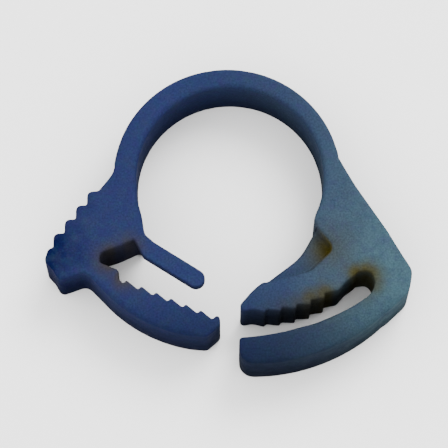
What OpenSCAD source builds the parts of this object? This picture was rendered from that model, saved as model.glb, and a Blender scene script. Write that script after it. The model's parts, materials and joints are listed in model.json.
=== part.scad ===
// Ratchet hose clamp: one springy moulding, drawn open as moulded and lying flat.
// Bore axis along Z, bore centre at the origin, lower face at Z = 0.
// The moulding is drawn as the regions that bend against each other, one node each.

/* [Bore and band] */
// Radius of the bore while the clamp is open
bore_r = 10; // [9.8:0.1:10.2]
// Width of the clamp along the hose
clamp_w = 7; // [6:0.5:9]
// Thickness of the band at its crown
band_t = 2.15; // [2.0:0.05:2.3]
// How far the band's outer curve is shifted, so that the right side is thinner and bends more
band_shift = 0.3; // [0.1:0.05:0.35]

/* [Closing] */
// Angle between neighbouring bending points of the band
bend_pitch = 20.5; // [19.5:0.5:20.5]
// Running clearance in each bending point
bend_gap = 0.03; // [0.02:0.01:0.05]

/* [Ratchet] */
// Distance from tooth to tooth
tooth_pitch = 1.65; // [1.5:0.05:1.7]
// Height of a tooth
tooth_h = 0.5; // [0.4:0.05:0.55]
// Thickness of the side tongue, along the hose
tongue_t = 1.4; // [1.2:0.1:1.6]
// Extra depth of the pocket that takes the side tongue
pocket_gap = 0.2; // [0.1:0.05:0.3]

/* [Grip] */
// Number of steps on the left jaw for the pliers
step_count = 4; // [3:1:4]

/* [Hidden] */
crown_angle = 91;
bore_fn = 96;
corner_steps = 6;

right_bends = [for (i = [0:3]) crown_angle - (i + 0.5) * bend_pitch];
left_bends = [for (i = [0:3]) crown_angle + (i + 0.5) * bend_pitch];

// Outer radius of the band, seen from the bore's centre, at angle a
function band_outer(a) =
    -band_shift * cos(a) + sqrt(pow(bore_r + band_t, 2) - pow(band_shift * sin(a), 2));
function band_mid(a) = (bore_r + band_outer(a)) / 2;
function knuckle_r(a) = (band_outer(a) - bore_r) / 2;
function bend_point(a) = band_mid(a) * [cos(a), sin(a)];
function polar(r, a) = r * [cos(a), sin(a)];

function unit(v) = v / norm(v);
function left_of(v) = [-v[1], v[0]];

// One rounded corner: p is [x, y, radius], a and b are its neighbours
function corner(a, p, b) =
    let (q = [p[0], p[1]],
         u = unit([a[0], a[1]] - q),
         v = unit([b[0], b[1]] - q),
         half = acos(max(-1, min(1, u * v))) / 2)
    p[2] == 0 || half > 89.5 ? [q] :
    let (back = p[2] / tan(half),
         c = q + unit(u + v) * p[2] / sin(half),
         from = q + u * back - c,
         a0 = atan2(from[1], from[0]),
         turn = (u[0] * v[1] - u[1] * v[0] > 0 ? -1 : 1) * (180 - 2 * half))
    [for (i = [0:corner_steps]) c + polar(p[2], a0 + turn * i / corner_steps)];

// An outline from points of [x, y, corner radius]
function rounded(pts) =
    let (n = len(pts))
    [for (i = [0:n - 1]) each corner(pts[(i + n - 1) % n], pts[i], pts[(i + 1) % n])];

// Points on a circle, as unrounded corners
function arc(c, r, a0, a1, n) =
    [for (i = [0:n]) let (p = c + polar(r, a0 + (a1 - a0) * i / n)) [p[0], p[1], 0]];

module prism(pts, z0 = 0, z1 = clamp_w) {
    translate([0, 0, z0]) linear_extrude(height = z1 - z0) polygon(rounded(pts));
}

module round_post(p, r, z0 = 0, z1 = clamp_w) {
    translate([p[0], p[1], z0]) cylinder(r = r, h = z1 - z0, $fn = 64);
}

// Slice of the band's disc between two angles, before the bore is cut
module band_slice(a0, a1) {
    reach = 2 * (bore_r + band_t);
    am = (a0 + a1) / 2;
    intersection() {
        translate([-band_shift, 0, 0]) cylinder(r = bore_r + band_t, h = clamp_w, $fn = bore_fn);
        linear_extrude(height = clamp_w)
            polygon([[0, 0], polar(reach, a0), polar(reach, am), polar(reach, a1)]);
    }
}

module bore() { translate([0, 0, -1]) cylinder(r = bore_r, h = clamp_w + 2, $fn = bore_fn); }

module band_arc(a0, a1) {
    difference() {
        band_slice(a0, a1);
        bore();
    }
}

module knuckle(a) { round_post(bend_point(a), knuckle_r(a)); }
module socket(a) { round_post(bend_point(a), knuckle_r(a) + bend_gap, -1, clamp_w + 1); }

// A link of the band: its end nearer the crown is a socket, its far end a knuckle
module band_link(near, far) {
    color("royalblue") difference() {
        union() {
            band_arc(min(near, far), max(near, far));
            knuckle(far);
        }
        socket(near);
    }
}

module band_crown() {
    color("royalblue") union() {
        band_arc(right_bends[0], left_bends[0]);
        knuckle(right_bends[0]);
        knuckle(left_bends[0]);
    }
}

// ---- left jaw with the stepped grip ----
step_run = [-1.17, -1.55];
step_start = [-14.05, -1.65];
step_end = step_start + step_count * step_run;

function step_outline() = [for (i = [0:step_count - 1])
    let (v = step_start + i * step_run, w = v + step_run)
    each [[v[0], v[1], 0.12], [w[0], v[1], 0.55]]];

// ---- toothed strap ----
// Outer edge: an arc around strap_c; the teeth stand on the side that faces the bore
strap_c = [-1.57, -1.52];
strap_r = 16.12;
strap_pivot = [-13.45, -10.8];
strap_neck = 1.2;
strap_teeth = 7;
first_tooth = [-10.95, -11.4];
last_tooth = [-1.55, -15.3];

// ---- side tongue ----
tongue_pivot = [-8.95, -7.85];
tongue_end = [-3.6, -11.25];
tongue_half = 0.95;
tongue_z = clamp_w - tongue_t;

// ---- right jaw, inner finger and outer guard ----
finger_pivot = [11.35, -8.0];
finger_neck = 3.2;
guard_pivot = [15.84, -13.7];
guard_neck = 1.25;
guard_c = [2.44, -0.07];
guard_r = 20.36;
slot_c = [-0.22, 8.77];
slot_r = 26.45;
finger_c = [2.75, 0.5];
finger_r = 15.66;

module left_jaw() {
    block = concat(
        [[polar(bore_r - 0.4, 176)[0], polar(bore_r - 0.4, 176)[1], 0],
         [polar(bore_r - 0.4, 168)[0], polar(bore_r - 0.4, 168)[1], 0],
         [polar(band_outer(168), 168)[0], polar(band_outer(168), 168)[1], 0],
         [-12.45, 0.4, 2.5]],
        step_outline(),
        [[step_end[0], step_end[1], 0.12], [-19.3, -8.05, 0.4], [-19.65, -9.3, 0.45], [-18.75, -10.3, 1.0],
         [-18.1, -11.5, 0.6], [-16.3, -10.85, 0.8], [-15.55, -10.55, 0.9], [-14.9, -10.9, 0.6], [-14.33, -11.6, 0],
         [strap_pivot[0], strap_pivot[1], 0],
         [-12.57, -10.05, 0], [-13.8, -10.05, 0.78], [-13.85, -8.4, 0.78], [-12.2, -7.9, 0.8],
         [-9.9, -6.85, 0.6], [-8.9, -7.2, 0.35], [-9.1, -6.2, 1.5], [-9.36, -4.41, 3], [-9.98, -2.1, 3], [-9.9, -0.9, 0]]);
    gusset = [[-10.9, -6.6, 0], [-10.05, -7.15, 0.5], [-9.6, -8.55, 0], [-8.95, -7.85, 0], [-8.3, -7.05, 0],
              [-8.95, -6.5, 0.4], [-9.3, -5.6, 0], [-10.2, -5.4, 0]];
    color("mediumblue") difference() {
        union() {
            band_slice(left_bends[3], 174);
            prism(block);
            prism(gusset, tongue_z, clamp_w);
        }
        bore();
        socket(left_bends[3]);
        round_post(strap_pivot, strap_neck + bend_gap, -1, clamp_w + 1);
        round_post(tongue_pivot, tongue_half + bend_gap, tongue_z - bend_gap, clamp_w + 1);
    }
}

// Saw teeth from the tip back to the root: ramps face the tip, steep faces the root
function strap_tooth_line() =
    let (along = unit(first_tooth - last_tooth), out = -left_of(along),
         step = norm(first_tooth - last_tooth) / (strap_teeth - 1))
    [for (i = [0:strap_teeth - 1])
        let (tip = last_tooth + along * step * i,
             low = tip - out * tooth_h + along * 0.12)
        each [[tip[0], tip[1], 0.1], [low[0], low[1], 0.12]]];

module toothed_strap() {
    outline = concat(
        [[strap_pivot[0], strap_pivot[1], 0], [-14.4, -11.6, 0]],
        arc(strap_c, strap_r, 219.5, 260, 14),
        [[-2.45, -17.6, 0.8], [-1.0, -16.3, 0.5], [-1.1, -15.35, 0.25]],
        strap_tooth_line(),
        [[-11.75, -11.3, 0.15], [-11.75, -10.3, 0.4], [-12.5, -10.08, 0]]);
    color("navy") union() {
        prism(outline);
        round_post(strap_pivot, strap_neck);
    }
}

module side_tongue() {
    along = unit(tongue_end - tongue_pivot);
    side = left_of(along) * tongue_half;
    a = tongue_pivot + side;
    b = tongue_end + side;
    c = tongue_end - side;
    d = tongue_pivot - side;
    color("slateblue") union() {
        prism([[a[0], a[1], 0], [b[0], b[1], 0], [c[0], c[1], 0], [d[0], d[1], 0]], tongue_z, clamp_w);
        round_post(tongue_pivot, tongue_half, tongue_z, clamp_w);
        round_post(tongue_end, tongue_half, tongue_z, clamp_w);
    }
}

// Pocket in the upper face that the side tongue slides into
module tongue_pocket() {
    translate([0, 0, tongue_z - pocket_gap]) linear_extrude(height = clamp_w)
        polygon(rounded([[2.4, -9.5, 0], [3.0, -11.75, 0], [8.5, -10.35, 1.0], [10.9, -7.9, 0.8], [9.0, -5.5, 0], [6, -6, 0]]));
}

module right_jaw() {
    body = concat(
        [[polar(bore_r - 0.4, 5)[0], polar(bore_r - 0.4, 5)[1], 0],
         [polar(bore_r - 0.4, 10)[0], polar(bore_r - 0.4, 10)[1], 0],
         [polar(band_outer(10), 10)[0], polar(band_outer(10), 10)[1], 0],
         [13.4, -0.95, 6], [16.7, -5.9, 4], [19.3, -10.4, 1.5], [18.95, -12.6, 1.8], [16.8, -14.65, 0],
         [guard_pivot[0], guard_pivot[1], 0],
         [15.0, -12.75, 0], [15.35, -11.6, 0.9], [14.9, -10.3, 0.9], [13.4, -10.55, 0],
         [finger_pivot[0], finger_pivot[1], 0],
         [9.2, -5.45, 0], [8.9, -4.9, 0.15], [9.15, -4.0, 0], [9.5, 0, 0]]);
    color("steelblue") difference() {
        union() {
            band_slice(7, right_bends[3]);
            prism(body);
        }
        bore();
        socket(right_bends[3]);
        round_post(finger_pivot, finger_neck + bend_gap, -1, clamp_w + 1);
        round_post(guard_pivot, guard_neck + bend_gap, -1, clamp_w + 1);
    }
}

// Saw teeth under the finger: ramps face the mouth, steep faces the slot's root
// The first teeth are lower, as a lead-in at the mouth
finger_teeth = 6;
lead_in = 0.2;
first_valley = -92;
function tooth_drop(i) = lead_in * max(0, 1 - i / 3);
tooth_turn = tooth_pitch / finger_r * 180 / PI;
function finger_tooth_line(a0) = [for (i = [0:finger_teeth - 1])
    let (valley = finger_c + polar(finger_r - tooth_h, a0 + i * tooth_turn),
         tip = finger_c + polar(finger_r - tooth_drop(i), a0 + (i + 0.93) * tooth_turn))
    each [[valley[0], valley[1], 0.12], [tip[0], tip[1], 0.1]]];

module inner_finger() {
    outline = concat(
        [[finger_pivot[0], finger_pivot[1], 0], [9.13, -5.68, 0], [7.35, -8.6, 5], [4.87, -10.5, 3],
         [2.68, -12.2, 2], [1.07, -14.1, 0.3], [1.07, -14.9, 0.4]],
        finger_tooth_line(first_valley),
        [[12.2, -11.6, 0.6], [13.4, -10.7, 0]]);
    color("cadetblue") difference() {
        union() {
            prism(outline);
            round_post(finger_pivot, finger_neck);
        }
        tongue_pocket();
    }
}

module outer_guard() {
    outline = concat(
        [[guard_pivot[0], guard_pivot[1], 0]],
        [for (i = [10:-1:0]) arc(slot_c, slot_r, -86.2, -54.2, 10)[i]],
        [[0.95, -17.65, 0.35], [1.0, -20.4, 1.5]],
        arc(guard_c, guard_r, -89, -46, 14));
    color("lightsteelblue") union() {
        prism(outline);
        round_post(guard_pivot, guard_neck);
    }
}

band_crown();
band_link(right_bends[0], right_bends[1]);  // band_right_1
band_link(right_bends[1], right_bends[2]);  // band_right_2
band_link(right_bends[2], right_bends[3]);  // band_right_3
band_link(left_bends[0], left_bends[1]);  // band_left_1
band_link(left_bends[1], left_bends[2]);  // band_left_2
band_link(left_bends[2], left_bends[3]);  // band_left_3
left_jaw();
toothed_strap();
side_tongue();
right_jaw();
inner_finger();
outer_guard();
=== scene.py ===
"""Looks of a one-piece moulded ratchet hose clamp: one continuous soft-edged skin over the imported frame."""

import json
import math

import bmesh
import bpy
import numpy as np
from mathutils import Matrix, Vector
from mathutils.geometry import delaunay_2d_cdt

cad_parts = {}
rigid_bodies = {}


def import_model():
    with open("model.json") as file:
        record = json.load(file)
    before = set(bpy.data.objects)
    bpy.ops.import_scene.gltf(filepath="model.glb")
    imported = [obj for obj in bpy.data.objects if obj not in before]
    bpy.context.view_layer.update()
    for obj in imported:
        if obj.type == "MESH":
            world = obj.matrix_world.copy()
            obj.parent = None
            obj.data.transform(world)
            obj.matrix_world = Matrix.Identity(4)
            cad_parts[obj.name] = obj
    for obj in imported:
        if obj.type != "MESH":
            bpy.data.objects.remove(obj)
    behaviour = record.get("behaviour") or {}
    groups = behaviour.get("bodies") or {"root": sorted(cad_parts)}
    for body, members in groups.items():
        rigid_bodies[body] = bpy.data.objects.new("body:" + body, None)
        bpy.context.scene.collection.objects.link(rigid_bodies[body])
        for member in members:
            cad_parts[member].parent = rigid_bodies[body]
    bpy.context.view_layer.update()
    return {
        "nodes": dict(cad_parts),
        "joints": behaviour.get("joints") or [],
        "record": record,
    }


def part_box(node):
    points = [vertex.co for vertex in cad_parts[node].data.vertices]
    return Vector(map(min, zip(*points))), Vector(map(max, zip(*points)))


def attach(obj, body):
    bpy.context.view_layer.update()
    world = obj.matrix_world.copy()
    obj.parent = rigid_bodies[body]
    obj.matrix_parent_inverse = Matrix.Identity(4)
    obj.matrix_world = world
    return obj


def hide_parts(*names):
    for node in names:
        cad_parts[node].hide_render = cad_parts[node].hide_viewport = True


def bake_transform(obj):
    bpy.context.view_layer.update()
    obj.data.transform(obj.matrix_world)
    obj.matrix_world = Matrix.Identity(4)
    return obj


MM = 0.001

# ---- the skin, in millimetres ----
EDGE_R = 0.6             # rounding of the upper edges
LOW_EDGE_R = 0.38        # rounding of the lower edges
EDGE_RINGS = 7           # rows of points in the upper rounding
TONGUE_EDGE_R = 0.2      # rounding under the thin tongue
STEP = 0.16              # spacing of points along the outline
CURVE_STEP = 0.03        # spacing on the curve it is drawn from
SOFTEN = 0.12            # how far sharp corners of the outline are softened
CORNER = math.radians(28)  # a sharper turn than this is a corner, not part of a curve
LONG = 2.5               # a stretch this many times its neighbour is straight
RING_SLACK = 0.012       # how much nearer than its own step a row of an edge's rounding may come
WALL_ROWS = 5            # rows of faces up each wall
TOP_ROWS = 3             # rows of faces up the wall beside the tongue
FILL_STEP = 0.9          # spacing of points inside the flat faces
ROW_RATIO = 0.87         # their rows are this much closer together than the points in a row
FILL_CLEAR = 0.25        # they keep this share of a step from the edge's rounding
POCKET_CLEAR = 0.8       # and this share of a step from the pocket's wall
CUT_STEP = 0.35          # spacing of points along a cut
CUT_CLEAR = 0.03         # loose points keep this far from a cut
POCKET_WALL = 0.14       # width of the pocket's sloping wall
POCKET_STEP = 0.15       # spacing of points along the pocket's edge
POCKET_SLACK = 0.01
SHOULDER_R = 0.6         # rounding at the top of the pocket's wall
SHOULDER_TURNS = [math.radians(a) for a in (0, 30, 60, 90)]
FILLET_R = 0.3           # fillet at its foot
FILLET_TURNS = [math.radians(a) for a in (20, 45, 70, 90)]
FINE_R = 0.3             # rounding along teeth and steps
FINE_SPREAD = 0.9        # how far the outline is evened out to find them
FINE_DEPTH = (0.05, 0.14)   # how far it moves then, beside no tooth and beside a full one
TONGUE_TOP_R = 0.22      # rounding of the tongue's upper edges
TONGUE_START = (-1.4, 0.8)  # where that tighter rounding fades in, along the tongue from its joint
TONGUE_SIDE = (2.6, 1.6)    # and sideways from it

# ---- the painted brown shade of the closed-in places, in millimetres ----
FEELERS = [math.radians(a) for a in (-60, -30, 0, 30, 60)]
FEELER_LENGTH = 3.2      # a gap wider than this is open
FEELER_STEPS = 8
CREVICE_REACH = 1.5      # how far the painted shade spreads from a narrow gap
CLOSED_IN = (0.05, 0.45)    # share of feelers met, in an open place and in a closed one
POCKET_SHADE_REACH = 2.4  # how far it spreads from the pocket's deep end
POCKET_SHADE_OUTSIDE = 0.4   # and how strong it is outside the pocket
BROWN_SHADE_ROOTS = {("finger_click", "guard_flex"): 8, ("strap_flex", "tongue_flex"): 2.6}
ROOT_SHADE = 1.2          # strength of the painted shade at the roots of the slot and of the strap

# ---- where each arm bends: way it runs, cut before the joint, length that bends after it ----
BAND_REACH = 1.7         # length of band that bends, to each side of a joint
TONGUE_WAY = math.radians(-32.7)
ARMS = {
    "strap": ("strap_flex", math.radians(-48.7), 0.9, 1.5),
    "tongue": ("tongue_flex", TONGUE_WAY, 0.2, 1.2),
    "guard": ("guard_flex", math.radians(-140), 0.95, 1.4),
    "finger": ("finger_click", math.radians(-142.6), 1.2, 1.6),
}
HINGE_BAND = 0.06        # points this near a knuckle's circle belong to the knuckle
KNUCKLE_CORE = 0.7       # and so do points within this share of its radius
KNUCKLE_REACH = 0.35     # a straight edge is followed to this close to a knuckle
KNUCKLE_SIZES = (0.5, 4)    # smallest and largest knuckle radius looked for
KNUCKLE_STEP = 0.04
SAME_PLACE = 0.02        # points closer than this are one point
SAME_LEVEL = 0.002       # and heights closer than this are one height
FACE_CLEAR = 0.01        # a level this near the upper or lower face is that face
MERGE = 1e-5             # the triangulation joins points closer than this
CHUNK = 2000             # points measured at a time
SMOOTH_ANGLE = math.radians(50)

# ---- colours (linear) and scales of the moulded nylon ----
SHADES = [               # place from the stepped jaw (0) to the fingered jaw (1), and colour there: the change of hue is the nylon's own, the rise in brightness towards the fingered jaw is painted light
    (0.02, (0.0025, 0.0040, 0.0257)),
    (0.12, (0.0105, 0.0140, 0.0480)),
    (0.30, (0.0110, 0.0155, 0.0520)),
    (0.50, (0.0110, 0.0165, 0.0480)),
    (0.67, (0.0145, 0.0225, 0.0480)),
    (0.84, (0.0245, 0.0410, 0.0590)),
    (0.97, (0.0300, 0.0570, 0.0720)),
]
DRIFT = 0.07             # how far those colours wander from their places
WEATHERED = (0.018, 0.024, 0.036)
VIOLET = (0.0180, 0.0100, 0.0560)
TEAL = (0.0100, 0.0330, 0.0480)
# painted shade: the brown laid into the closed-in places
OLIVE_SHADE = (0.0280, 0.0225, 0.0022)
MIDDLE = (0.3, 0.7)      # the span of noise values that is used in full
WEATHERED_SPAN = (0.45, 0.75)
WEATHERED_AMOUNT = 0.35
TINGE_SPAN = (0.48, 0.72)
TINGES = [(1.3, VIOLET, 0.3), (1.7, TEAL, 0.3)]   # how fine beside the mottling, colour, amount
# patchiness of the brown painted shade
OLIVE_PATCHES = (0.75, 1.1)
# painted shade: the upright walls darker towards their foot, the underside darker, and the skin darker
# towards the mouth's end
WALL_TOP_SHADE = 0.97    # brightness of the upright walls at the top, beside the upper face
WALL_FOOT_SHADE = 0.30   # and at the foot
WALL_TILT = (0.05, 0.95)    # upward share of the normal, on a full wall and on the flat
UNDERSIDE_SHADE = 0.6    # brightness of the underside
UNDERSIDE_TILT = (-0.9, -0.4)
CREVICE_SPARED = 0.9     # how much of the walls' painted shade is lifted where the brown painted shade lies
NEAR_SHADE = 0.42        # painted shade: brightness at the mouth's outermost edge
NEAR_END = 0.6           # where that shade has faded out, as a share of the way from the bore's centre
SPECULAR = 0.001
NYLON_IOR = 1.5
ROUGHNESS = (0.42, 0.58)
CLOUD_SCALE = 90
MOTTLE_SCALE = 700
GRAIN_SCALE = 5000
SPECK_SPAN = (0.25, 0.75)
SPECK = (0.76, 1.24)     # brightness of the finest specks
GRAIN_DEPTH = 0.00006
GRAIN_STRENGTH = 0.35
FLOW_DEPTH = 0.0001
FLOW_STRENGTH = 0.3

# ---- floor, light and camera ----
FLOOR_COLOUR = (0.93, 0.93, 0.93)
FLOOR_R = 3
FLOOR_SIDES = 96
FLOOR_ROUGHNESS = 0.9
FLOOR_SPECULAR = 0.1
SKY_COLOUR = (1, 1, 1)
SKY_POWER = 2.4
LAMPS = {                # azimuth and height in degrees; distance and size in metres; power in watts
    "key": {"azimuth": 55, "height": 50, "away": 0.5, "size": 0.3, "power": 3.0},
    "fill": {"azimuth": 200, "height": 50, "away": 0.6, "size": 0.5, "power": 1.0},
}
SENSOR = 36
CLIP = 0.01
LENS = 226.1
CAMERA_HEIGHT = 74
CAMERA_AWAY = 0.3
CAMERA_TARGET = (-0.00064, -0.00492, 0.00559)

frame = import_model()
nodes = frame["nodes"]
joints = {j["name"]: j for j in frame["joints"]}
body_nodes = frame["record"]["behaviour"]["bodies"]
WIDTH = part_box("band_crown")[1].z / MM
TONGUE_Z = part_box("side_tongue")[0].z / MM
BAND_SIDES = ("right", "left")
LINKS = 3


def centre_of(joint):
    return np.array(joints[joint]["pos_m"][:2]) / MM


# ---- the outline, read from the frame ----
def face_loops(node, height):
    """Outlines of a node's flat faces at a height, in millimetres."""
    mesh = nodes[node].data
    keys = {}
    index = [
        keys.setdefault(tuple(round(c / MM, 3) for c in v.co), len(keys))
        for v in mesh.vertices
    ]
    spots = list(keys)
    follow = {}
    edges = set()
    for face in mesh.polygons:
        ids = [index[i] for i in face.vertices]
        if len(set(ids)) < 3 or any(abs(spots[i][2] - height) > SAME_LEVEL for i in ids):
            continue
        for a, b in zip(ids, ids[1:] + ids[:1]):
            if (b, a) in edges:
                edges.discard((b, a))
            else:
                edges.add((a, b))
    for a, b in sorted(edges):
        follow[a] = b
    loops = []
    while follow:
        here = next(iter(follow))
        loop = []
        while here in follow:
            loop.append(spots[here][:2])
            here = follow.pop(here)
        loops.append(np.array(loop))
    return [loop for loop in loops if len(loop) > 2]


def main_loop(node, height):
    """The longest outline at a height, anticlockwise."""
    loop = max(face_loops(node, height), key=len)
    x, y = loop.T
    area = np.sum(x * np.roll(y, -1) - y * np.roll(x, -1))
    return loop if area > 0 else loop[::-1]


def knuckle_circle(joint, loops):
    """Centre and radius of a joint's knuckle: the circle that most nearby outline points lie on."""
    centre = centre_of(joint)
    pair = [n for side in ("parent", "child") for n in body_nodes[joints[joint][side]]]
    away = np.concatenate([np.linalg.norm(loops[n] - centre, axis=1) for n in pair if n in loops])
    counts, bins = np.histogram(away, bins=np.arange(*KNUCKLE_SIZES, KNUCKLE_STEP))
    return centre, bins[np.argmax(counts)] + KNUCKLE_STEP / 2


def beside_knuckle(dropped, kept):
    """A point on a long straight edge just where it leaves the knuckle, so that the edge keeps its line."""
    away = kept - dropped
    length = np.linalg.norm(away)
    return [dropped + away / length * KNUCKLE_REACH] if length > 2 * KNUCKLE_REACH else []


def open_chains(loop, circles):
    """The stretches of a node's outline that belong to the skin, without its knuckles and sockets."""
    keep = np.ones(len(loop), bool)
    for centre, radius in circles:
        keep &= abs(np.linalg.norm(loop - centre, axis=1) - radius) > HINGE_BAND
        keep &= np.linalg.norm(loop - centre, axis=1) > radius * KNUCKLE_CORE
    if keep.all():
        return [loop]
    start = int(np.argmin(keep))
    loop, keep = np.roll(loop, -start, axis=0), np.roll(keep, -start)
    chains = []
    for i, kept in enumerate(keep):
        ahead = (i + 1) % len(loop)
        if kept and not keep[i - 1]:
            chains.append(list(beside_knuckle(loop[i - 1], loop[i])))
        if kept:
            chains[-1].append(loop[i])
        if kept and not keep[ahead]:
            chains[-1] += beside_knuckle(loop[ahead], loop[i])
    return [np.array(c) for c in chains]


def joined(chains):
    """One closed outline from (node, chain) pairs laid end to end; across a knuckle the node changes."""
    chains = list(chains)
    node, first = chains.pop(0)
    line = list(first)
    while chains:
        gaps = [np.linalg.norm(c[0] - line[-1]) if n != node else math.inf for n, c in chains]
        node, chain = chains.pop(int(np.argmin(gaps)))
        line += list(chain)
    return np.array(line)


def outline(loops):
    """One closed outline around all the nodes whose own outlines are given."""
    pairs = {j: [body_nodes[joints[j][side]] for side in ("parent", "child")] for j in joints}
    circles = {j: knuckle_circle(j, loops) for j, pair in pairs.items() if all(p[0] in loops for p in pair)}
    chains = []
    for node, loop in loops.items():
        mine = [circle for j, circle in circles.items() if node in pairs[j][0] + pairs[j][1]]
        chains += [(node, chain) for chain in open_chains(loop, mine)]
    return joined(chains)


def curved(points):
    """Evenly spaced points on a curve through an outline; its corners stay corners, a little softened."""
    apart = np.linalg.norm(points - np.roll(points, 1, axis=0), axis=1)
    points = points[apart > SAME_PLACE]
    before, after = points - np.roll(points, 1, axis=0), np.roll(points, -1, axis=0) - points
    len_b, len_a = np.linalg.norm(before, axis=1), np.linalg.norm(after, axis=1)
    turn = np.arctan2(before[:, 0] * after[:, 1] - before[:, 1] * after[:, 0], (before * after).sum(1))
    smooth = abs(turn) < CORNER
    unit_b, unit_a = before / len_b[:, None], after / len_a[:, None]
    slope = (unit_b * len_a[:, None] + unit_a * len_b[:, None]) / (len_a + len_b)[:, None]
    # where a long straight stretch meets a curve, the outline leaves it in its own direction
    slope = np.where((len_a > LONG * len_b)[:, None], unit_a, slope)
    slope = np.where((len_b > LONG * len_a)[:, None], unit_b, slope)
    dense = []
    for i, p in enumerate(points):
        k = (i + 1) % len(points)
        q, length = points[k], len_a[i]
        straight = (q - p) / length
        m0 = (slope[i] if smooth[i] else straight) * length
        m1 = (slope[k] if smooth[k] else straight) * length
        t = np.arange(0, 1, min(1, CURVE_STEP / length))[:, None]
        dense.append((2 * t**3 - 3 * t**2 + 1) * p + (t**3 - 2 * t**2 + t) * m0
                     + (3 * t**2 - 2 * t**3) * q + (t**3 - t**2) * m1)
    return evenly(np.concatenate(dense), STEP, closed=True)


def evenly(line, step, closed=False):
    """Points at even spacing along a line; a closed line's corners are softened as well."""
    if closed:
        line = np.vstack([line, line[:1]])
    along = np.concatenate([[0], np.cumsum(np.linalg.norm(np.diff(line, axis=0), axis=1))])
    count = max(2, int(round(along[-1] / step)))
    at = np.linspace(0, along[-1], count + 1)
    out = np.column_stack([np.interp(at, along, line[:, k]) for k in (0, 1)])
    if not closed:
        return out
    return even_out(out[:-1], SOFTEN)


def even_out(values, spread):
    """Values along the closed outline, averaged with their neighbours."""
    width = spread / STEP
    reach = int(3 * width) + 1
    weights = np.exp(-0.5 * (np.arange(-reach, reach + 1) / width) ** 2)
    weights /= weights.sum()
    return sum(w * np.roll(values, k, axis=0) for k, w in zip(range(-reach, reach + 1), weights))


def distance(points, line, closed=True):
    """Distance from each point to a polyline."""
    a = line if closed else line[:-1]
    b = np.roll(line, -1, axis=0) if closed else line[1:]
    ab = b - a
    size = np.maximum((ab * ab).sum(1), 1e-12)
    out = np.empty(len(points))
    for i in range(0, len(points), CHUNK):
        p = points[i:i + CHUNK, None, :]
        t = np.clip(((p - a) * ab).sum(2) / size, 0, 1)
        out[i:i + CHUNK] = np.sqrt((((a + t[:, :, None] * ab) - p) ** 2).sum(2).min(1))
    return out


def inside(points, loop):
    """Which points lie in a closed outline."""
    x, y = points[:, 0][:, None], points[:, 1][:, None]
    (x0, y0), (x1, y1) = loop.T, np.roll(loop, -1, axis=0).T
    with np.errstate(divide="ignore", invalid="ignore"):
        crosses = ((y0 > y) != (y1 > y)) & (x < (x1 - x0) * (y - y0) / (y1 - y0) + x0)
    return crosses.sum(1) % 2 == 1


def inward(loop, by):
    """The outline moved inward, without the points that come too near another stretch of it."""
    tangent = np.roll(loop, -1, axis=0) - np.roll(loop, 1, axis=0)
    tangent /= np.linalg.norm(tangent, axis=1)[:, None]
    moved = loop + by * np.column_stack([-tangent[:, 1], tangent[:, 0]])
    return moved[distance(moved, loop) > by - RING_SLACK]


# ---- the outline of the whole clamp, above and below ----
def read_outlines():
    """The clamp's outline seen from above, and the same outline where it stands on the hose's side below:
    the two share their points except at the root of the tongue, which has nothing under it."""
    loops_top = {n: main_loop(n, WIDTH) for n in nodes if n != "inner_finger"}
    loops_top["inner_finger"] = main_loop("inner_finger", 0)
    loops_low = {n: main_loop(n, 0) for n in nodes if n != "side_tongue"}
    above = curved(outline(loops_top))
    below = curved(outline(loops_low))
    above, below = (np.roll(line, -int(np.argmax(line[:, 1])), axis=0) for line in (above, below))
    free = np.flatnonzero(distance(above, below) > SAME_PLACE)
    standing = np.flatnonzero(distance(below, above) > SAME_PLACE)
    root = below[standing[0]:standing[-1] + 1]
    ends = (int(free[0]) - 1, int(free[-1]) + 1)
    return above, np.vstack([above[:free[0]], root, above[ends[1]:]]), root, ends


def facing(start, way):
    """The outline point met first from a start point in a direction."""
    away = above - start
    way = np.array(way) / np.linalg.norm(way)
    ahead = away @ way
    aside = abs(away @ np.array([-way[1], way[0]]))
    near = np.flatnonzero((ahead > 0) & (aside < STEP))
    return int(near[np.argmin(ahead[near] + aside[near])])


# ---- the pieces: each lies around one joint, or on one jaw ----
def turned(way, angle=math.pi / 2):
    """A direction turned anticlockwise, by a quarter unless told otherwise."""
    c, s = math.cos(angle), math.sin(angle)
    return np.array([c * way[0] - s * way[1], s * way[0] + c * way[1]])


def polar(angle):
    return np.array([math.cos(angle), math.sin(angle)])


def bearing(point):
    return math.atan2(point[1], point[0])


def cut_across(middle, way):
    """A cut through the skin at a point, square to a direction. Gives its two outline points."""
    ends = (facing(middle, turned(way)), facing(middle, -turned(way)))
    cuts.append(ends)
    return ends


def add_bending(name, joint, cut_ends, way, reach_before, reach_after):
    """The plan of a piece around a joint, from the cut before it to the cut after it."""
    centre = centre_of(joint)
    starts = [(above[k] - centre) @ way for k in cut_ends]
    start = max([-reach_before] + starts)
    pieces.append({
        "name": name, "seed": centre, "bodies": (joints[joint]["parent"], joints[joint]["child"]),
        "start": centre + way * start, "end": centre + way * reach_after,
    })


def plan_band():
    """The band: one piece for each of its bends, cut half way between them."""
    for side in BAND_SIDES:
        names = [f"bend_{side}_{k}" for k in range(1, LINKS + 2)]
        angles = [bearing(centre_of(n)) for n in names]
        step = angles[1] - angles[0]
        radius = np.linalg.norm(centre_of(names[0]))
        if side == BAND_SIDES[0]:
            middle = angles[0] - step / 2
            cut_across(radius * polar(middle), turned(polar(middle)))
        for name, angle in zip(names, angles):
            way = turned(polar(angle)) * math.copysign(1, step)
            after = angle + step / 2
            cut_across(radius * polar(after), turned(polar(after)))
            add_bending("skin_" + name, name, [], way, BAND_REACH, BAND_REACH)


def plan_arms():
    """The strap, tongue, guard and finger: one piece for each, from a cut before its joint to its tip."""
    for name, (joint, angle, cut, reach) in ARMS.items():
        way = polar(angle)
        ends = cut_across(centre_of(joint) - cut * way, way)
        add_bending("skin_" + name, joint, ends, way, cut, reach)


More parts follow.
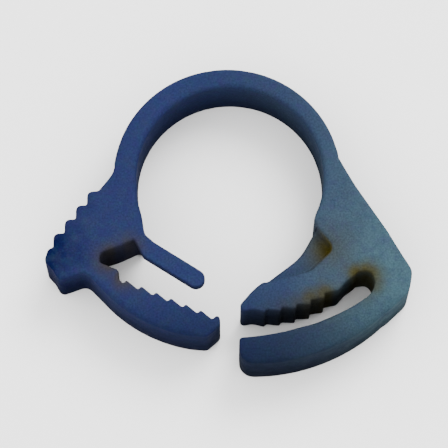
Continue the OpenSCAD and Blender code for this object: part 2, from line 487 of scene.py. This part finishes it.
# ---- the pocket that the tongue slips into ----
def pocket_edge(level):
    """The pocket's edge inside the finger, as an open line with the pocket on its left, and its floor."""
    floor = main_loop("inner_finger", level)
    line = evenly(np.vstack([floor, floor[:1]]), POCKET_STEP)[:-1]
    within = distance(line, above) > POCKET_STEP
    start = int(np.flatnonzero(~within)[-1]) + 1
    line, within = np.roll(line, -start, axis=0), np.roll(within, -start)
    return line[within], floor


def pocket_height():
    """The height of the pocket's floor: the highest flat face of the finger below its upper face."""
    levels = set(np.round(np.array([v.co.z for v in nodes["inner_finger"].data.vertices]) / MM, 3))
    between = [z for z in levels if FACE_CLEAR < z < WIDTH - FACE_CLEAR]
    return max(z for z in between if face_loops("inner_finger", z))


def pocket_drop(points):
    """How far the upper face lies below the rest: a soft shoulder, a steep wall and a fillet."""
    depth = WIDTH - pocket_level
    s = distance(points, pocket_line, closed=False)
    s = np.where(inside(points, pocket_floor) | (distance(points, pocket_floor) < SAME_PLACE), s, -s)
    over = np.clip(s + SHOULDER_R, 0, SHOULDER_R)
    shoulder = SHOULDER_R - np.sqrt(np.maximum(SHOULDER_R**2 - over**2, 0))
    t = np.clip(s / POCKET_WALL, 0, 1)
    wall = SHOULDER_R + (depth - SHOULDER_R - FILLET_R) * t
    left = np.clip(POCKET_WALL + FILLET_R - s, 0, FILLET_R)
    fillet = depth - FILLET_R + np.sqrt(np.maximum(FILLET_R**2 - left**2, 0))
    return np.where(s < 0, shoulder, np.where(s < POCKET_WALL, wall, fillet))


def pocket_rows():
    """Rows of points along the pocket's shoulder, wall and fillet."""
    tangent = np.gradient(pocket_line, axis=0)
    tangent /= np.linalg.norm(tangent, axis=1)[:, None]
    normal = np.column_stack([-tangent[:, 1], tangent[:, 0]])
    offsets = [-SHOULDER_R * (1 - math.sin(a)) for a in SHOULDER_TURNS]
    offsets += [POCKET_WALL / 2, POCKET_WALL]
    offsets += [POCKET_WALL + FILLET_R * math.sin(a) for a in FILLET_TURNS]
    rows = []
    for by in offsets:
        row = pocket_line + by * normal
        rows.append(row[distance(row, pocket_line, closed=False) > abs(by) - POCKET_SLACK])
    return np.concatenate(rows)


# ---- the flat triangulation, shared by every piece ----
def rounding(away, radius):
    """How far a rounded edge falls short, at a distance from the outline."""
    away = np.minimum(away, radius)
    return radius - np.sqrt(np.maximum(radius**2 - (radius - away) ** 2, 0))


def ring_steps(radius):
    """How far in from the outline the rows of points in a rounded edge lie."""
    return [radius * (1 - math.cos(math.pi / 2 * k / EDGE_RINGS)) for k in range(1, EDGE_RINGS + 1)]


def cut_points(a, b):
    """Points along a cut, closer together in the rounded edges."""
    length = np.linalg.norm(b - a)
    steps = ring_steps(EDGE_R)
    count = max(2, int(round((length - 2 * EDGE_R) / CUT_STEP)))
    inner = list(np.linspace(EDGE_R, length - EDGE_R, count + 1))[1:-1]
    at = steps + inner + [length - s for s in reversed(steps)]
    return [a + (b - a) * s / length for s in at]


def loose_points():
    """The points that no border holds: the edges' roundings, the pocket's rows and a grid between them."""
    rows = [inward(above, s) for s in ring_steps(EDGE_R)]
    low_rings = [inward(below, s) for s in ring_steps(LOW_EDGE_R)]
    rows += [r[distance(r, root, closed=False) < LOW_EDGE_R + SAME_PLACE] for r in low_rings]
    pocket = pocket_rows()
    rows.append(pocket[inside(pocket, above) & (distance(pocket, above) > EDGE_R / 4)])
    low, high = above.min(0), above.max(0)
    across = np.arange(low[0], high[0], FILL_STEP)
    up = np.arange(low[1], high[1], FILL_STEP * ROW_RATIO)
    grid = np.array([(x + (k % 2) * FILL_STEP / 2, y) for k, y in enumerate(up) for x in across])
    grid = grid[inside(grid, above)]
    grid = grid[distance(grid, above) > EDGE_R + FILL_STEP * FILL_CLEAR]
    rows.append(grid[distance(grid, pocket_line, closed=False) > FILL_STEP * POCKET_CLEAR])
    loose = np.concatenate(rows)
    gap = distance(loose, root, closed=False)
    for a, b in cuts:
        gap = np.minimum(gap, distance(loose, np.array([above[a], above[b]]), closed=False))
    return loose[gap > CUT_CLEAR]


def anticlockwise(face, place):
    a, b, c = place[list(face)]
    turn = (b[0] - a[0]) * (c[1] - a[1]) - (b[1] - a[1]) * (c[0] - a[0])
    return face if turn > 0 else face[::-1]


def flat_mesh():
    """The clamp seen from above in triangles: points, faces, what each border edge is, faces' middles."""
    n = len(above)
    points = [tuple(p) for p in above]
    edges = [(i, (i + 1) % n) for i in range(n)]
    kinds = ["outline"] * n

    def add_line(first, inner, last, kind):
        ids = [first]
        for p in inner:
            points.append(tuple(p))
            ids.append(len(points) - 1)
        ids.append(last)
        for a, b in zip(ids, ids[1:]):
            edges.append((a, b))
            kinds.append(kind)

    add_line(root_ends[0], root, root_ends[1], "root")
    for a, b in cuts:
        add_line(a, cut_points(above[a], above[b]), b, "cut")
    points += [tuple(p) for p in loose_points()]
    result = delaunay_2d_cdt([Vector(p) for p in points], edges, [], 1, MERGE)
    coords, out_edges, faces, from_points, from_edges = result[:5]
    place = np.array([points[f[0]] if f else tuple(c) for c, f in zip(coords, from_points)])
    kind_of = {}
    for e, sources in zip(out_edges, from_edges):
        if sources:
            kind_of[frozenset(e)] = kinds[sources[0]]
    middles = np.array([place[list(f)].mean(0) for f in faces])
    keep = inside(middles, above)
    faces = [anticlockwise(tuple(f), place) for f, kept in zip(faces, keep) if kept]
    return place, faces, kind_of, middles[keep]


def eased(value, low, high):
    """0 at low, 1 at high, with a soft start and end."""
    t = np.clip((value - low) / (high - low), 0, 1)
    return t * t * (3 - 2 * t)


def by_nearest(points):
    """Chunks of points, and their distances to every outline point."""
    for i in range(0, len(points), CHUNK):
        chunk = slice(i, i + CHUNK)
        yield chunk, np.linalg.norm(points[chunk, None, :] - above[None, :, :], axis=2)


def fineness(points):
    """1 beside teeth and steps, 0 beside the smooth stretches of the outline."""
    off = np.linalg.norm(above - even_out(above, FINE_SPREAD), axis=1)
    reach = int(FINE_SPREAD / STEP)
    off = np.max([np.roll(off, k) for k in range(-reach, reach + 1)], axis=0)
    fine = even_out(eased(off, *FINE_DEPTH)[:, None], FINE_SPREAD / 2)[:, 0]
    out = np.empty(len(points))
    for chunk, gap in by_nearest(points):
        out[chunk] = fine[gap.argmin(1)]
    return out


def upper_radius(points):
    """The upper edges' rounding: soft everywhere, but tighter on the thin tongue."""
    away = points - centre_of("tongue_flex")
    way = polar(TONGUE_WAY)
    along, aside = away @ way, abs(away @ turned(way))
    tongue = eased(along, *TONGUE_START) * eased(aside, *TONGUE_SIDE)
    radius = EDGE_R + (FINE_R - EDGE_R) * fineness(points)
    return radius + (TONGUE_TOP_R - radius) * tongue


def enclosure():
    """How closed in each outline point is, 0 to 1, by the solid that faces it across a gap."""
    way = np.roll(above, -1, axis=0) - np.roll(above, 1, axis=0)
    out = np.column_stack([way[:, 1], -way[:, 0]]) / np.linalg.norm(way, axis=1)[:, None]
    total = np.zeros(len(above))
    for lean in FEELERS:
        c, s = math.cos(lean), math.sin(lean)
        ray = np.column_stack([c * out[:, 0] - s * out[:, 1], s * out[:, 0] + c * out[:, 1]])
        near = np.zeros(len(above))
        for k in range(FEELER_STEPS, 0, -1):
            reach = FEELER_LENGTH * k / FEELER_STEPS
            hit = inside(above + ray * reach, above)
            near[hit] = 1 - (k - 1) / FEELER_STEPS
        total += near / len(FEELERS)
    return total


def painted_crevice_shade(points):
    """Painted brown shade of the closed-in places: beside narrow gaps and in the pocket's deep end."""
    closed = enclosure()
    brown_shade = np.empty(len(points))
    for chunk, gap in by_nearest(points):
        brown_shade[chunk] = (closed * np.exp(-(gap / CREVICE_REACH) ** 2)).max(1)
    end = pocket_line[np.argmin(np.linalg.norm(pocket_line - centre_of("finger_click"), axis=1))]
    deep = np.exp(-(np.linalg.norm(points - end, axis=1) / POCKET_SHADE_REACH) ** 2)
    deep *= np.where(pocket_drop(points) > SHOULDER_R / 4, 1, POCKET_SHADE_OUTSIDE)
    closed_in = eased(brown_shade, *CLOSED_IN)
    for pair, reach in BROWN_SHADE_ROOTS.items():
        root_middle = (centre_of(pair[0]) + centre_of(pair[1])) / 2
        spread = np.exp(-(np.linalg.norm(points - root_middle, axis=1) / reach) ** 2)
        deep = np.maximum(deep, np.minimum(1, ROOT_SHADE * spread) * closed_in)
    return np.clip(deep, 0, 1)


def heights():
    """The upper face, the lower face, and the level between where the tongue's underside meets a wall."""
    from_above = distance(place, above)
    top = WIDTH - rounding(from_above, upper_radius(place)) - pocket_drop(place)
    low = rounding(distance(place, below), LOW_EDGE_R)
    tongue = TONGUE_Z + rounding(from_above, TONGUE_EDGE_R)
    share = (TONGUE_Z + TONGUE_EDGE_R - LOW_EDGE_R) / (WIDTH - EDGE_R - LOW_EDGE_R)
    mid = low + (top - low) * share
    for end in root_ends:
        mid[np.argmin(np.linalg.norm(place - above[end], axis=1))] = TONGUE_Z + TONGUE_EDGE_R
    on_tongue = sorted({v for f, free in zip(faces, under_tongue) if free for v in f})
    mid[on_tongue] = tongue[on_tongue]
    return top, low, mid


def regions():
    """The faces that belong to each other, with the cuts as borders."""
    by_edge = {}
    for i, f in enumerate(faces):
        for a, b in zip(f, f[1:] + f[:1]):
            by_edge.setdefault(frozenset((a, b)), []).append(i)
    label = [-1] * len(faces)
    count = 0
    for i in range(len(faces)):
        if label[i] >= 0:
            continue
        stack = [i]
        label[i] = count
        while stack:
            f = faces[stack.pop()]
            for a, b in zip(f, f[1:] + f[:1]):
                if kind_of.get(frozenset((a, b))) == "cut":
                    continue
                for k in by_edge[frozenset((a, b))]:
                    if label[k] < 0:
                        label[k] = count
                        stack.append(k)
        count += 1
    return np.array(label), count


def solid(name, mine):
    """A closed mesh over some of the flat faces."""
    verts, lookup, brown_shade = [], {}, []

    def vertex(i, level):
        key = (i, level)
        if key not in lookup:
            low, mid, top = z_low[i], z_mid[i], z_top[i]
            if level <= WALL_ROWS:
                z = low + (mid - low) * level / WALL_ROWS
            else:
                z = mid + (top - mid) * (level - WALL_ROWS) / TOP_ROWS
            lookup[key] = len(verts)
            brown_shade.append(crevice[i])
            verts.append((place[i][0] * MM, place[i][1] * MM, z * MM))
        return lookup[key]

    top_level = WALL_ROWS + TOP_ROWS
    owner = {}
    out = []
    for i in mine:
        f = faces[i]
        low = WALL_ROWS if under_tongue[i] else 0
        out.append([vertex(v, top_level) for v in f])
        out.append([vertex(v, low) for v in reversed(f)])
        for a, b in zip(f, f[1:] + f[:1]):
            owner[(a, b)] = i
    for (a, b), i in owner.items():
        other = owner.get((b, a))
        low = WALL_ROWS if under_tongue[i] else 0
        high = top_level
        if other is not None:
            if under_tongue[i] or not under_tongue[other]:
                continue
            high = WALL_ROWS
        for k in range(low, high):
            out.append([vertex(a, k), vertex(b, k), vertex(b, k + 1), vertex(a, k + 1)])
    mesh = bpy.data.meshes.new(name)
    mesh.from_pydata(verts, [], out)
    # painted brown shade of the closed-in places, at each point, for the material
    mesh.attributes.new("crevice", "FLOAT", "POINT").data.foreach_set("value", brown_shade)
    at_rest = mesh.attributes.new("at_rest", "FLOAT_VECTOR", "POINT")
    at_rest.data.foreach_set("vector", np.array(verts, np.float32).ravel())
    mesh.shade_smooth()
    mesh.set_sharp_from_angle(angle=SMOOTH_ANGLE)
    obj = bpy.data.objects.new(name, mesh)
    bpy.context.scene.collection.objects.link(obj)
    return obj


# ---- the moulded nylon ----
def socket(node, name, value):
    node.inputs[name].default_value = value


def moulding_material():
    """Matte navy nylon with mould grain: bluer and darker at the stepped jaw, greyer and lighter at the
    fingered one, where the change of hue is the nylon's own and the rise in brightness is painted light. It
    has painted shade down the walls, on the underside and at the mouth, and painted brown shade in the
    closed-in places."""
    mat = bpy.data.materials.new("navy_nylon")
    mat.use_nodes = True
    tree = mat.node_tree
    tree.nodes.clear()
    make, link = tree.nodes.new, tree.links.new
    out = make("ShaderNodeOutputMaterial")
    shader = make("ShaderNodeBsdfPrincipled")
    link(shader.outputs["BSDF"], out.inputs["Surface"])
    coords = make("ShaderNodeAttribute")
    coords.attribute_name = "at_rest"

    def noise(scale, detail, rough=0.5):
        node = make("ShaderNodeTexNoise")
        socket(node, "Scale", scale)
        socket(node, "Detail", detail)
        socket(node, "Roughness", rough)
        link(coords.outputs["Vector"], node.inputs["Vector"])
        return node.outputs["Fac"]

    def span(value, source, target):
        node = make("ShaderNodeMapRange")
        socket(node, "From Min", source[0])
        socket(node, "From Max", source[1])
        socket(node, "To Min", target[0])
        socket(node, "To Max", target[1])
        link(value, node.inputs["Value"])
        return node.outputs["Result"]

    def mixed(factor, a, b):
        node = make("ShaderNodeMix")
        node.data_type = "RGBA"
        link(factor, node.inputs[0])
        for value, name in ((a, 6), (b, 7)):
            if hasattr(value, "links"):
                link(value, node.inputs[name])
            else:
                node.inputs[name].default_value = (*value, 1)
        return node.outputs[2]

    def maths(kind, a, b):
        node = make("ShaderNodeMath")
        node.operation = kind
        for k, value in enumerate((a, b)):
            if hasattr(value, "links"):
                link(value, node.inputs[k])
            else:
                node.inputs[k].default_value = value
        return node.outputs[0]

    def bump(strength, depth, height, under=None):
        node = make("ShaderNodeBump")
        socket(node, "Strength", strength)
        socket(node, "Distance", depth)
        link(height, node.inputs["Height"])
        if under:
            link(under, node.inputs["Normal"])
        return node.outputs["Normal"]

    # the colour, from jaw to jaw: the nylon's hue, with painted light brightening it towards the fingered jaw
    split = make("ShaderNodeSeparateXYZ")
    link(coords.outputs["Vector"], split.inputs[0])
    low, high = above.min(0) * MM, above.max(0) * MM
    across = span(split.outputs["X"], (low[0], high[0]), (0, 1))
    drift = maths("ADD", across, span(noise(CLOUD_SCALE, 3), MIDDLE, (-DRIFT, DRIFT)))
    ramp = make("ShaderNodeValToRGB")
    stops = ramp.color_ramp.elements
    stops.remove(stops[1])
    for k, (at, colour) in enumerate(SHADES):
        stop = stops.new(at) if k else stops[0]
        stop.position = at
        stop.color = (*colour, 1)
    link(drift, ramp.inputs["Fac"])

    # mottling, and the painted brown shade of the closed-in places
    worn = span(noise(MOTTLE_SCALE, 4, 0.6), WEATHERED_SPAN, (0, WEATHERED_AMOUNT))
    mottled = mixed(worn, ramp.outputs["Color"], WEATHERED)
    for finer, colour, amount in TINGES:
        tinge = span(noise(MOTTLE_SCALE * finer, 5, 0.7), TINGE_SPAN, (0, amount))
        mottled = mixed(tinge, mottled, colour)
    brown_shade = make("ShaderNodeAttribute")
    brown_shade.attribute_name = "crevice"
    patches = span(noise(CLOUD_SCALE * 3, 3), MIDDLE, OLIVE_PATCHES)
    patchy_shade = maths("MULTIPLY", brown_shade.outputs["Fac"], patches)
    with_brown_shade = mixed(patchy_shade, mottled, OLIVE_SHADE)

    # painted shade: walls darker towards their foot, a darker underside, and everything darker towards the
    # mouth's end
    geometry = make("ShaderNodeNewGeometry")
    normal = make("ShaderNodeSeparateXYZ")
    link(geometry.outputs["Normal"], normal.inputs[0])
    depth = span(split.outputs["Z"], (0, WIDTH * MM), (WALL_FOOT_SHADE, WALL_TOP_SHADE))
    upright = span(normal.outputs["Z"], WALL_TILT, (1, 0))
    under = span(normal.outputs["Z"], UNDERSIDE_TILT, (UNDERSIDE_SHADE, 0))
    flat = span(upright, (0, 1), (1, 0))
    walls = maths("ADD", flat, maths("MULTIPLY", upright, maths("MAXIMUM", depth, under)))
    missing = maths("SUBTRACT", 1.0, walls)
    spared = maths("MULTIPLY", maths("MULTIPLY", patchy_shade, missing), CREVICE_SPARED)
    mouth_end_shade = span(split.outputs["Y"], (low[1], low[1] * NEAR_END), (NEAR_SHADE, 1))
    shade = maths("MULTIPLY", maths("ADD", walls, spared), mouth_end_shade)
    shaded = make("ShaderNodeVectorMath")
    shaded.operation = "SCALE"
    link(with_brown_shade, shaded.inputs[0])
    link(shade, shaded.inputs["Scale"])

    # specks, sheen and grain
    specks = make("ShaderNodeHueSaturation")
    link(span(noise(GRAIN_SCALE, 2), SPECK_SPAN, SPECK), specks.inputs["Value"])
    link(shaded.outputs["Vector"], specks.inputs["Color"])
    link(specks.outputs["Color"], shader.inputs["Base Color"])
    link(span(noise(MOTTLE_SCALE, 3), MIDDLE, ROUGHNESS), shader.inputs["Roughness"])
    socket(shader, "IOR", NYLON_IOR)
    socket(shader, "Specular IOR Level", SPECULAR)
    grain = bump(GRAIN_STRENGTH, GRAIN_DEPTH, noise(GRAIN_SCALE, 3, 0.6))
    link(bump(FLOW_STRENGTH, FLOW_DEPTH, noise(MOTTLE_SCALE, 2), grain), shader.inputs["Normal"])
    return mat


# ---- the pieces, placed on the frame ----
def region_at(point):
    return label[int(np.argmin(np.linalg.norm(middles - point, axis=1)))]


def build_skin(material):
    """Every piece of the skin, in place of the plain solids of its bodies; the jaw pieces ride on their jaw,
    the others are baked where they lie.
    """
    bending = {region_at(p["seed"]): p for p in pieces}
    made = {}
    for r in range(region_count):
        mine = np.flatnonzero(label == r)
        if r in bending:
            p = bending[r]
            obj = solid(p["name"], mine)
            obj.data.materials.append(material)
            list(p["bodies"])
            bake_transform(obj)
            made[p["name"]] = (obj, p["bodies"])
        else:
            body = "left_jaw" if middles[mine][:, 0].mean() < 0 else "right_jaw"
            obj = solid("skin_" + body, mine)
            obj.data.materials.append(material)
            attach(obj, body)
            made["skin_" + body] = (obj, (body,))
    for obj, bodies in made.values():
        for body in bodies:
            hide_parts(*body_nodes[body])


# ---- floor, light and camera ----
def stage_material():
    mat = bpy.data.materials.new("pale_floor")
    mat.use_nodes = True
    shader = mat.node_tree.nodes["Principled BSDF"]
    socket(shader, "Base Color", (*FLOOR_COLOUR, 1))
    socket(shader, "Roughness", FLOOR_ROUGHNESS)
    socket(shader, "Specular IOR Level", FLOOR_SPECULAR)
    return mat


def build_stage():
    mesh = bpy.data.meshes.new("floor")
    bm = bmesh.new()
    bmesh.ops.create_circle(bm, cap_ends=True, radius=FLOOR_R, segments=FLOOR_SIDES)
    bm.to_mesh(mesh)
    bm.free()
    floor = bpy.data.objects.new("floor", mesh)
    floor.data.materials.append(stage_material())
    bpy.context.scene.collection.objects.link(floor)
    world = bpy.data.worlds.new("studio")
    world.use_nodes = True
    background = world.node_tree.nodes["Background"]
    socket(background, "Color", (*SKY_COLOUR, 1))
    socket(background, "Strength", SKY_POWER)
    bpy.context.scene.world = world


def aim(obj, target):
    obj.rotation_euler = (Vector(target) - obj.location).to_track_quat("-Z", "Y").to_euler()


def build_lamp(name, azimuth, height, away, size, power):
    lamp = bpy.data.lights.new(name, "AREA")
    lamp.shape = "DISK"
    lamp.size = size
    lamp.energy = power
    obj = bpy.data.objects.new(name, lamp)
    a, h = math.radians(azimuth), math.radians(height)
    obj.location = (away * math.cos(h) * math.cos(a), away * math.cos(h) * math.sin(a), away * math.sin(h))
    aim(obj, (0, 0, 0))
    bpy.context.scene.collection.objects.link(obj)


def build_camera():
    data = bpy.data.cameras.new("camera")
    data.sensor_width = SENSOR
    data.lens = LENS
    data.clip_start = CLIP
    camera = bpy.data.objects.new("camera", data)
    h = math.radians(CAMERA_HEIGHT)
    target = Vector(CAMERA_TARGET)
    camera.location = target + CAMERA_AWAY * Vector((0, -math.cos(h), math.sin(h)))
    aim(camera, target)
    bpy.context.scene.collection.objects.link(camera)
    bpy.context.scene.camera = camera


# ---- the clamp, worked out once ----
cuts = []
pieces = []
above, below, root, root_ends = read_outlines()
plan_band()
plan_arms()
pocket_level = pocket_height()
pocket_line, pocket_floor = pocket_edge(pocket_level)
place, faces, kind_of, middles = flat_mesh()
under_tongue = ~inside(middles, below)
z_top, z_low, z_mid = heights()
# painted brown shade of the closed-in places, at each point
crevice = painted_crevice_shade(place)
label, region_count = regions()

build_skin(moulding_material())
build_stage()
for lamp_name, lamp in LAMPS.items():
    build_lamp(lamp_name, **lamp)
build_camera()
